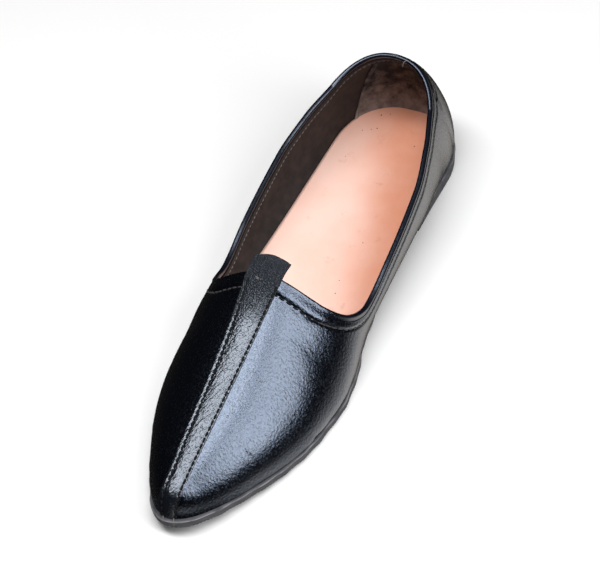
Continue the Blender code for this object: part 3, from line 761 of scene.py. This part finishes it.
def strip_points(rows, across):
    """The strip's underside on the ridge, in rows from the tab's end to the toe, and its normals."""
    toe_q = np.linspace(0, 0.3, SEARCH_STEPS)
    toe_widths = section("half_width", LAST_LENGTH * (1 - toe_q ** 2))
    last_q = np.interp(np.abs(across) * STRIP_WIDTH_TOE / 2, toe_widths, toe_q)
    first_q = toeward(THROAT_EDGE - STRIP_TAB)
    q = first_q + (last_q - first_q) * rows[:, None]
    x = LAST_LENGTH * (1 - q ** 2)
    widths = np.interp(x, (THROAT_EDGE, LAST_LENGTH), (STRIP_WIDTH_THROAT, STRIP_WIDTH_TOE))
    share = np.abs(across) * widths / 2 / np.maximum(section("half_width", x), 1e-6)
    girth = np.arccos(np.clip(share, 0, 1) ** (ROUNDNESS(x) / 2))
    points = surface(np.where(across < 0, -1.0, 1.0) * walk(x), girth)
    past_edge = np.clip((THROAT_EDGE - x) / STRIP_TAB, 0, 1)
    points[..., 2] -= TAB_DROOP * past_edge ** 2
    return points, unit(np.cross(np.gradient(points, axis=0), np.gradient(points, axis=1)))


# Wrinkled strip leather: the same hide, worn greyer, with slanting wrinkles, and
# coarse and dull on the tab. Both are drawn coarser than real ones so that they show.
strip_leather = new_finish("wrinkled_strip_leather", IOR=1.8, Base_Color=colour("#0D1016"),
                           Specular_Tint=colour("#E5F0FF"))
place = add_node(strip_leather, "TexCoord").outputs["Object"]
slanted = add_node(strip_leather, "Mapping",
                   {"Vector": place, "Rotation": (0, 0, np.radians(-24)), "Scale": (7.0, 1.0, 1.0)},
                   vector_type="TEXTURE")
wrinkles = add_node(strip_leather, "TexNoise",
                    {"Vector": slanted, "Scale": grain_scale(1.0), "Detail": 1.0, "Distortion": 0.1})
pebbles = add_node(strip_leather, "TexVoronoi", {"Vector": place, "Scale": grain_scale(0.8)})
folds = add_node(strip_leather, "Bump", {"Height": wrinkles, "Strength": 1.0, "Distance": 0.0004})
worn_tab = add_node(strip_leather, "Attribute", attribute_name="tab")
coarse = add_node(strip_leather, "MapRange",
                  {"Value": worn_tab.outputs["Fac"], "To Min": 0.10, "To Max": 1.0})
grain = add_node(strip_leather, "Bump",
                 {"Height": pebbles, "Normal": folds, "Strength": coarse, "Distance": 0.0012})
gloss = add_node(strip_leather, "MapRange",
                 {"Value": worn_tab.outputs["Fac"], "To Min": 0.24, "To Max": 0.61})
feed(strip_leather, Roughness=gloss, Normal=grain)

STRIP_ROWS = 241
STRIP_ACROSS = 61
STRIP_CROWN = 0.00035        # the strip's middle stands this much over its edges
STRIP_RIM = (.00030, .0005)  # its right edge is raised: height, and distance from the edge
ROW_INSETS = {-1: 0.0019, 1: 0.0009}     # the sewn rows lie this far inside the right and left edges
ROW_GROOVE = 0.00040         # and are pulled in by this much
GROOVE_WIDTH = 0.0006        # half width of rim and grooves
TAB_WEAR = (-.004, .022)     # from the throat's edge, where the wear is full and where it ends
strip_across = np.linspace(-1, 1, STRIP_ACROSS)
points, normals = strip_points(np.linspace(0, 1, STRIP_ROWS), strip_across)
half_strip = np.linalg.norm(points[:, -1] - points[:, 0], axis=-1)[:, None] / 2
rim = (half_strip * (1 + strip_across) - STRIP_RIM[1]) / GROOVE_WIDTH
rise = STRIP_CROWN * (1 - strip_across ** 2) + STRIP_RIM[0] * np.exp(-rim ** 2)
for side, inset in ROW_INSETS.items():
    groove = (half_strip * (1 - side * strip_across) - inset) / GROOVE_WIDTH
    rise = rise - ROW_GROOVE * np.exp(-groove ** 2)
sewn = points + (SEAT_GAP + rise[..., None]) * normals
bm = bmesh.new()
lay_sheet(bm, sewn, tab=np.interp(sewn[..., 0] - THROAT_EDGE, TAB_WEAR, (1, 0)))
strip = make_piece("centre_strip", bm, strip_leather, "centre_strip")
thicken(strip, STRIP_THICKNESS, offset=1)
edges = strip.modifiers.new("rounded_edges", "BEVEL")
edges.width = 0.0004
edges.segments = 3
edges.limit_method = "ANGLE"
edges.angle_limit = np.radians(50)

# Rolled edge: the vamp's leather turned over at the throat, and round the
# collar a thicker roll of glossy leather, both sewn through the wall.
THROAT_BEAD = 0.0009         # radius of the roll at the throat
COLLAR_BEAD = 0.0014         # and round the collar
BEAD_GROWTH = (0.10, 0.24)   # way along the edge over which the one becomes the other
BEAD_TURN = (100, 130)       # degrees that the roll turns from its top to each side, there and there
BEAD_GAP = 0.0005            # between the wall's edge and the roll
BEAD_WAVER = (.015, 37)      # share by which its radius varies, and radians along the whole edge
BEAD_STEPS = 15
BEAD_END = ((-.0001, .00015), (-.0011, .0003))   # where it ends inside: over the edge, and from the wall
THROAT_FOLD = 0.0003         # the throat's roll stands out with the band folded over there
# Glossy edge leather: navy black and polished, so that it carries a thin bright
# line, a little broken by ripples.
edge_leather = new_finish("glossy_edge_leather", Roughness=0.24, IOR=1.65,
                          Base_Color=colour("#0A0C14"), Specular_Tint=colour("#DAE7FF"))
place = add_node(edge_leather, "TexCoord").outputs["Object"]
ripples = add_node(edge_leather, "TexNoise", {"Vector": place, "Scale": grain_scale(2.2), "Detail": 4.0})
bump = add_node(edge_leather, "Bump", {"Height": ripples, "Strength": 0.15, "Distance": 0.0004})
feed(edge_leather, Normal=bump)


def on_skin(points):
    """The nearest places on the upper's worked outer face, with their normals."""
    hits = [skin.find_nearest(Vector(point + SET_BACK)) for point in points]
    return (np.array([hit[0] for hit in hits]) - SET_BACK, np.array([hit[1] for hit in hits]))


def roll_ring(way, side, depths, lifts):
    """Sections of the rolled edge: up out of the wall from some depths, over the roll, and down inside."""
    edge, normal = top_edge(way, side)
    along = top_edge(np.clip(way + PROBE, 0, 1), side)[0] - top_edge(np.clip(way - PROBE, 0, 1), side)[0]
    along[(way == 0) | (way == 1)] *= (0, 1, 0)
    off = unit(np.cross(normal, along * side))
    grown = np.interp(way, BEAD_GROWTH, (0, 1))
    radius = THROAT_BEAD + (COLLAR_BEAD - THROAT_BEAD) * grown
    radius = radius * (1 + BEAD_WAVER[0] * np.sin(way * BEAD_WAVER[1] + side))
    reach = np.radians(BEAD_TURN[0] + (BEAD_TURN[1] - BEAD_TURN[0]) * grown)
    middle = THROAT_FOLD * (1 - grown) - WALL / 2
    place, facing_out = on_skin((edge[:, None] - depths[..., None] * off[:, None]).reshape(-1, 3))
    neck = (place + lifts.reshape(-1, 1) * facing_out).reshape(*depths.shape, 3)
    rows = [(BEAD_GAP + radius * (1 + np.cos(reach * step)), radius * np.sin(reach * step) + middle)
            for step in np.linspace(1, -1, BEAD_STEPS)]
    rows += [(up + 0 * way, out - WALL + 0 * way) for up, out in BEAD_END]
    over = np.stack([edge + off * up[:, None] + normal * out[:, None] for up, out in rows], 1)
    return np.concatenate([neck, over], 1)


ROLL_SPLIT = 0.20            # where the vamp's own roll ends under the collar's
ROLL_LAP = 0.003             # and the way over which the two lie on each other
BAND_FADE = 0.04             # over this way before its end the throat's band goes down
BAND_DEPTHS = np.array([1.0, .88, .7, .5, .3, .1])       # shares of the sewn row's depth
BAND_LIFTS = np.array([-.0002, .00012, .00028, .00033, .00030, .00024])      # over the leather there
BAND_SUNK = 0.0003           # under the leather, where it has gone down
COLLAR_DEPTHS = np.array([.0018, .0011, .0004])          # the collar's roll starts sunk in the leather
COLLAR_LIFTS = np.array([-.00038, -.00025, -.00022])
THROAT_STATIONS = 91         # on each side
COLLAR_STATIONS = 221
half = np.linspace(0, ROLL_SPLIT, THROAT_STATIONS)
band = np.interp(half, *STITCH_ROW)[:, None] * BAND_DEPTHS
fade = np.clip((ROLL_SPLIT - half) / BAND_FADE, 0, 1)[:, None]
lifts = BAND_LIFTS * fade - BAND_SUNK * (1 - fade)
bm = bmesh.new()
lay_sheet(bm, np.concatenate([roll_ring(half[::-1], -1, band[::-1], lifts[::-1]),
                              roll_ring(half, 1, band, lifts)[1:]]))
make_piece("throat_roll", bm, black_leather, "collar_binding")
half = np.linspace(ROLL_SPLIT - ROLL_LAP, 1, COLLAR_STATIONS)
depths = COLLAR_DEPTHS + 0 * half[:, None]
lifts = COLLAR_LIFTS + 0 * half[:, None]
bm = bmesh.new()
lay_sheet(bm, np.concatenate([roll_ring(half, 1, depths, lifts),
                              roll_ring(half[::-1], -1, depths, lifts)[1:]]))
make_piece("collar_roll", bm, edge_leather, "collar_binding")

# Stitching: waxed linen thread in long saddle stitches, sunk a little in the
# leather along the throat, collar, strip and facing, and inside along the counter.
EDGE_PITCH = 0.0036          # of the row round throat and collar
EDGE_STITCH = 0.0033         # length of one of its stitches
SINK = 0.40                  # share of the thread that lies in the leather
ROW_START = 0.015            # way along the edge, beside the strip
SHADE_START = 0.15               # beyond this way the thread on the left is drawn paler, painted for the shade round it
EDGE_ROWS = (                # side, where it starts and ends, thread, and whether it is drawn dark for lit leather
    (1, ROW_START, SHADE_START, .0011, True), (1, SHADE_START, 1, .0007, False), (-1, ROW_START, 1, .0009, False),
)
# Waxed linen thread, its tone painted for rows on lit leather: dull black, so that it shows as dark dashes
# on the lit leather.
linen = new_finish("in_light_linen_thread", Roughness=0.8, IOR=1.3, Base_Color=colour("#0E0F12"))
place = add_node(linen, "TexCoord").outputs["Object"]
twist = add_node(linen, "TexNoise", {"Vector": place, "Scale": grain_scale(0.6), "Detail": 2.0})
bump = add_node(linen, "Bump", {"Height": twist, "Strength": 0.5, "Distance": 0.0002})
feed(linen, Normal=bump)
# Painted light: the same thread drawn greyer than the leather where the leather round it lies in shade, for
# the light it catches there.
in_shade_linen = new_finish("in_shade_linen_thread", Roughness=0.8, IOR=1.4, Base_Color=colour("#3E3B3A"))
# Undyed linen thread: pale grey and dry, for the rows inside and the cut ends.
pale_linen = new_finish("undyed_linen_thread", Roughness=0.8, IOR=1.4, Base_Color=colour("#767472"))


def points_at(place, run, points):
    """Points at some places along a line, whose own points lie at the places in run."""
    return np.stack([np.interp(place, run, points[:, i]) for i in range(3)], -1)


def sew(bm, line, normals, pitch, length, thread, sink):
    """Places one stitch after another along a line on a surface, sunk in it by a share of the thread."""
    run = run_along(line)
    count = max(int(run[-1] / pitch), 1)
    middle = (np.arange(count) + 0.5) * run[-1] / count
    along = unit(points_at(middle + pitch / 4, run, line) - points_at(middle - pitch / 4, run, line))
    aside = unit(np.cross(points_at(middle, run, normals), along))
    up = np.cross(along, aside)
    spot = points_at(middle, run, line) + up * thread * (0.5 - sink) + SET_BACK
    shapes = np.zeros((count, 4, 4)) + np.eye(4)
    shapes[:, :3] = np.stack([along * length / 2, aside * thread / 2, up * thread / 2, spot], 2)
    for shape in shapes:
        bmesh.ops.create_uvsphere(bm, u_segments=8, v_segments=5, radius=1, matrix=Matrix(shape.tolist()))


# Rows on lit leather get the dark tone and rows in shade the paler one: painted light and shade.
in_light_rows, in_shade_rows = bmesh.new(), bmesh.new()
for side, first, last, thread, in_light in EDGE_ROWS:
    way = np.linspace(first, last, 2 * SEARCH_STEPS)
    edge, normal = top_edge(way, side)
    off = unit(np.cross(normal, np.gradient(edge, axis=0) * side))
    row_line = on_skin(edge - off * np.interp(way, *STITCH_ROW)[:, None])
    sew(in_light_rows if in_light else in_shade_rows, *row_line, EDGE_PITCH, EDGE_STITCH, thread, SINK)
make_piece("throat_stitches", in_light_rows, linen)
make_piece("collar_stitches", in_shade_rows, in_shade_linen)

STRIP_PITCH = 0.0030
STRIP_STITCH = 0.0029
STRIP_THREAD = 0.0013
FREE_TAB = 0.002             # the rows begin this far before the throat's edge
strip_ends = []
bm = bmesh.new()
for side in (1, -1):
    row_across = side * (1 - ROW_INSETS[side] / half_strip[:, 0])
    line, line_normals = (np.array([points_at(a, strip_across, row) for a, row in zip(row_across, grid)])
                          for grid in (sewn + STRIP_THICKNESS * normals, normals))
    sewn_down = line[:, 0] > THROAT_EDGE + FREE_TAB
    sew(bm, line[sewn_down], line_normals[sewn_down], STRIP_PITCH, STRIP_STITCH, STRIP_THREAD, SINK)
    strip_ends.append(line[-1])
make_piece("strip_stitches", bm, linen)

INSIDE_ROW = 0.0009          # above the facing's lower side
INSIDE_STITCH = (.0026, .0020, .0005, .35)       # pitch, length, thread and sink
COUNTER_ROW = 0.008          # of the half outline, behind the counter's front edge
bm = bmesh.new()
t, girth = upper_place(facing_u, share_below(facing_u, np.array([FACING_WIDTH - INSIDE_ROW]))[:, 0])
sew(bm, inside(t, girth, WALL + FACING + FACING_PAD / 2), -outward(t, girth), *INSIDE_STITCH)
for side in (1, -1):
    row_t = side * (counter_seam_t[3:-2] - COUNTER_ROW)
    row_girth = girth_at(np.abs(row_t), COUNTER_FOOT + COUNTER_RISE * up_counter[3:-2])
    sew(bm, inside(row_t, row_girth, WALL + COUNTER), -outward(row_t, row_girth), *INSIDE_STITCH)
make_piece("inside_stitches", bm, pale_linen)

# Thread ends: bits of the same thread left standing where the rows finish, at
# the toe, on the tab and on top of the heel.
LOOSE_WAY = 0.960            # where the loose thread leaves the collar's roll
ROLL_TOP = len(COLLAR_DEPTHS) + BEAD_STEPS // 2      # the roll's highest row
FUZZ_LEANS = (-.0012, -.0004, .0005, .0013)          # short ends at the heel back, to each side
TACK_COLUMN = 19             # of the strip, right of its middle
TACK_AHEAD = 0.0015          # of the throat's edge, where the tab's last stitch is knotted
TACK_RISE = 0.0002           # over the strip's face


def lay_thread(bm, start, bends, radius):
    """A thin round thread from a place along a few bends, given from that place."""
    points = start + np.array(bends, float)
    path = points_at(np.linspace(0, len(points) - 1, 9), np.arange(len(points)), points)
    along = unit(np.gradient(path, axis=0))
    aside = unit(np.cross(along, (0.3, 0.5, 0.8)))
    turn = np.linspace(0, 2 * np.pi, 7)[None, :, None]
    thick = radius * np.array([0.3, 1, 1, 1, 1, 1, 1, 1, 0.3])[:, None, None]
    lay_sheet(bm, path[:, None] + thick * (np.cos(turn) * aside[:, None]
                                           + np.sin(turn) * np.cross(along, aside)[:, None]))


bm = bmesh.new()
for end in strip_ends:
    lay_thread(bm, end, ((.0006, 0, .0012), (.0016, .0002, -.0004), (.0020, .0003, -.0026)), .00022)
loose, heel_top = roll_ring(np.array([LOOSE_WAY, 1.0]), 1, depths[:2], lifts[:2])[:, ROLL_TOP]
lay_thread(bm, loose, ((0, 0, 0), (.0004, -.0006, .0020), (.0022, -.0020, .0018), (.0034, -.0024, -.0004)),
           .00014)
for lean in FUZZ_LEANS:
    lay_thread(bm, heel_top, ((0, 0, 0), (-.0003, lean * 0.6, .0005), (-.0006, lean * 1.4, .0007)), .00012)
tack_row = np.argmin(np.abs(sewn[:, STRIP_ACROSS // 2, 0] - THROAT_EDGE - TACK_AHEAD))
tack = sewn[tack_row, TACK_COLUMN] + (0, 0, STRIP_THICKNESS + TACK_RISE)
lay_thread(bm, tack, ((0, 0, 0), (.0004, .0008, .0002), (.0002, .0018, 0)), .00025)
lay_thread(bm, tack, ((.0008, .0004, 0), (.0012, .0013, .0002), (.0011, .0022, 0)), .00022)
make_piece("thread_ends", bm, pale_linen)

# Floor: a plain pale sweep, painted matt. It stays out of the leather's
# reflections, as the bright ground of a cut-out picture does.
floor_paint = new_finish("matt_white_floor", Base_Color=colour("#EDEDED"), Roughness=0.8)
bm = bmesh.new()
bmesh.ops.create_grid(bm, x_segments=1, y_segments=1, size=4)
mesh = bpy.data.meshes.new("floor")
bm.to_mesh(mesh)
bm.free()
mesh.materials.append(floor_paint)
floor = bpy.data.objects.new("floor", mesh)
bpy.context.scene.collection.objects.link(floor)
floor.visible_glossy = False

# Light: a long soft box over the shoe and another on its left side, in a dim
# room that glows only low down on the left, shown without a film-like tone curve.
SOFT_BOXES = (               # name, place, tilt in degrees, width and length, watts
    ("top_box", (0.14, -0.12, 0.95), 0, (0.38, 1.15), 12.1),
    ("side_box", (0.12, 0.77, 0.64), -51, (0.45, 0.75), 7.2),
)
bpy.context.scene.view_settings.view_transform = "Standard"
world = bpy.data.worlds.new("room")
world.use_nodes = True
direction = add_node(world, "SeparateXYZ", {0: add_node(world, "TexCoord").outputs["Generated"]})
leftward = add_node(world, "MapRange",
                    {"Value": direction.outputs["Y"], "From Min": -0.1, "From Max": 0.6,
                     "To Min": 0.01, "To Max": 1.9})
downward = add_node(world, "MapRange",
                    {"Value": direction.outputs["Z"], "From Min": -0.15, "From Max": -0.6,
                     "To Min": 0.0, "To Max": 1.0})
glow = add_node(world, "Math", {0: leftward, 1: downward, 2: 0.01}, operation="MULTIPLY_ADD")
backdrop = world.node_tree.nodes["Background"]
fill(world, backdrop, {"Color": colour("#FFF7ED"), "Strength": glow})
bpy.context.scene.world = world
for name, place, tilt, size, watts in SOFT_BOXES:
    light = bpy.data.lights.new(name, "AREA")
    light.shape = "RECTANGLE"
    light.size, light.size_y = size
    light.energy = watts
    lamp = bpy.data.objects.new(name, light)
    lamp.location = place
    lamp.rotation_euler = (np.radians(tilt), 0, 0)
    bpy.context.scene.collection.objects.link(lamp)

# Camera: above the toe on the shoe's left, tilted a little, as the photo was taken.
AIM = Vector((0.0088, 0.0064, 0.0300))
CAMERA_PLACE = Vector((0.6879, 0.4453, 0.9393))
CAMERA_ROLL = np.radians(-10.18)
CAMERA_LENS = 153.82
camera = bpy.data.objects.new("camera", bpy.data.cameras.new("camera"))
camera.data.lens = CAMERA_LENS
camera.data.sensor_width = 36
camera.data.sensor_fit = "HORIZONTAL"
camera.location = CAMERA_PLACE
look = (AIM - CAMERA_PLACE).to_track_quat("-Z", "Y")
camera.rotation_euler = (look @ Quaternion((0, 0, 1), CAMERA_ROLL)).to_euler()
bpy.context.scene.collection.objects.link(camera)
bpy.context.scene.camera = camera
